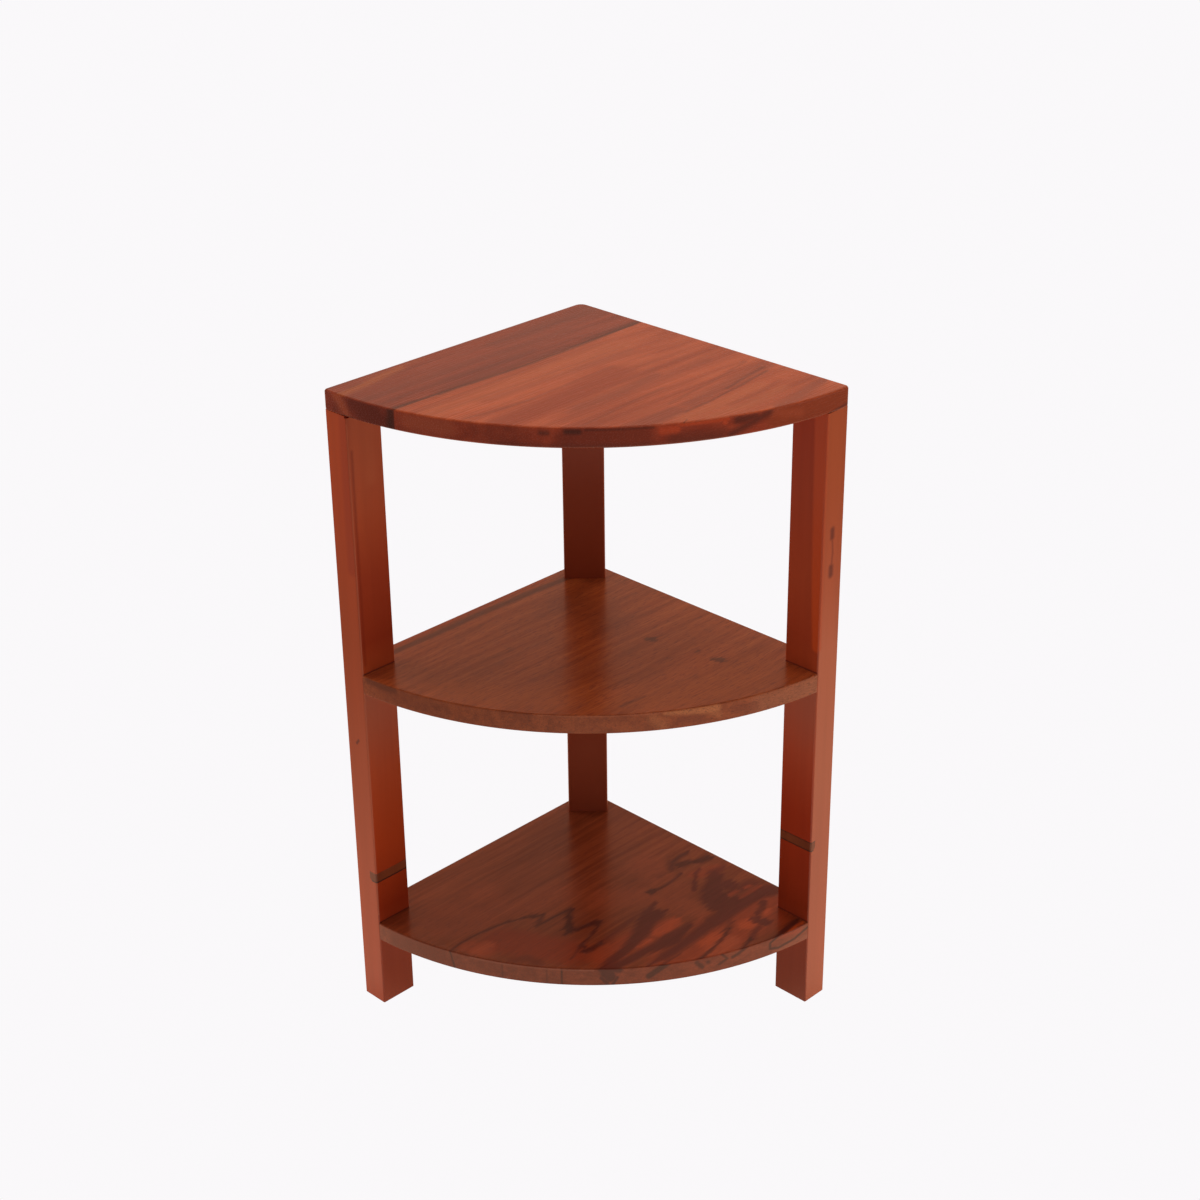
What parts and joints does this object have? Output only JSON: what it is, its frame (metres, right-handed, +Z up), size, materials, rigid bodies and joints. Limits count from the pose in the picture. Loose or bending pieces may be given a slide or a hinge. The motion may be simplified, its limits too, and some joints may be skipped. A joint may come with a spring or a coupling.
{
  "type": "corner storage rack",
  "caption": "Quarter-round wooden corner rack: flat top and lower shelves notched round square legs, curved front, open bays.",
  "frame": {"origin": "on the floor, under the middle of the rack's bounding box", "axes": "+Z up, -Y towards the curved front, +Y towards the corner where the two straight sides meet, +X to the right as seen from the front"},
  "size_m": [0.4324, 0.304, 0.61],
  "materials": {
    "top_dark_wood": "semi-gloss lacquered dark red-brown hardwood",
    "top_light_wood": "semi-gloss lacquered orange-red hardwood with dark streaks",
    "middle_shelf_wood": "semi-gloss lacquered brown hardwood with fine straight grain",
    "bottom_shelf_wood": "semi-gloss lacquered brown hardwood with dark flame figure",
    "leg_wood": "semi-gloss lacquered orange-red hardwood",
    "filler_wood": "satin dark brown filler wood",
    "dowel_wood": "bare pale dowel rod"
  },
  "bodies": {
    "root": {"top_left_board": "top_dark_wood", "top_right_board": "top_light_wood", "middle_shelf": "middle_shelf_wood", "bottom_shelf": "bottom_shelf_wood", "left_leg": "leg_wood", "right_leg": "leg_wood", "back_leg": "leg_wood", "left_leg_filler": "filler_wood", "right_leg_filler": "filler_wood", "left_top_dowel_1": "dowel_wood", "left_top_dowel_2": "dowel_wood", "left_middle_dowel_1": "dowel_wood", "left_middle_dowel_2": "dowel_wood", "left_bottom_dowel_1": "dowel_wood", "left_bottom_dowel_2": "dowel_wood", "right_top_dowel_1": "dowel_wood", "right_top_dowel_2": "dowel_wood", "right_middle_dowel_1": "dowel_wood", "right_middle_dowel_2": "dowel_wood", "right_bottom_dowel_1": "dowel_wood", "right_bottom_dowel_2": "dowel_wood", "back_top_dowel_1": "dowel_wood", "back_top_dowel_2": "dowel_wood", "back_middle_dowel_1": "dowel_wood", "back_middle_dowel_2": "dowel_wood", "back_bottom_dowel_1": "dowel_wood", "back_bottom_dowel_2": "dowel_wood"}
  },
  "joints": []
}
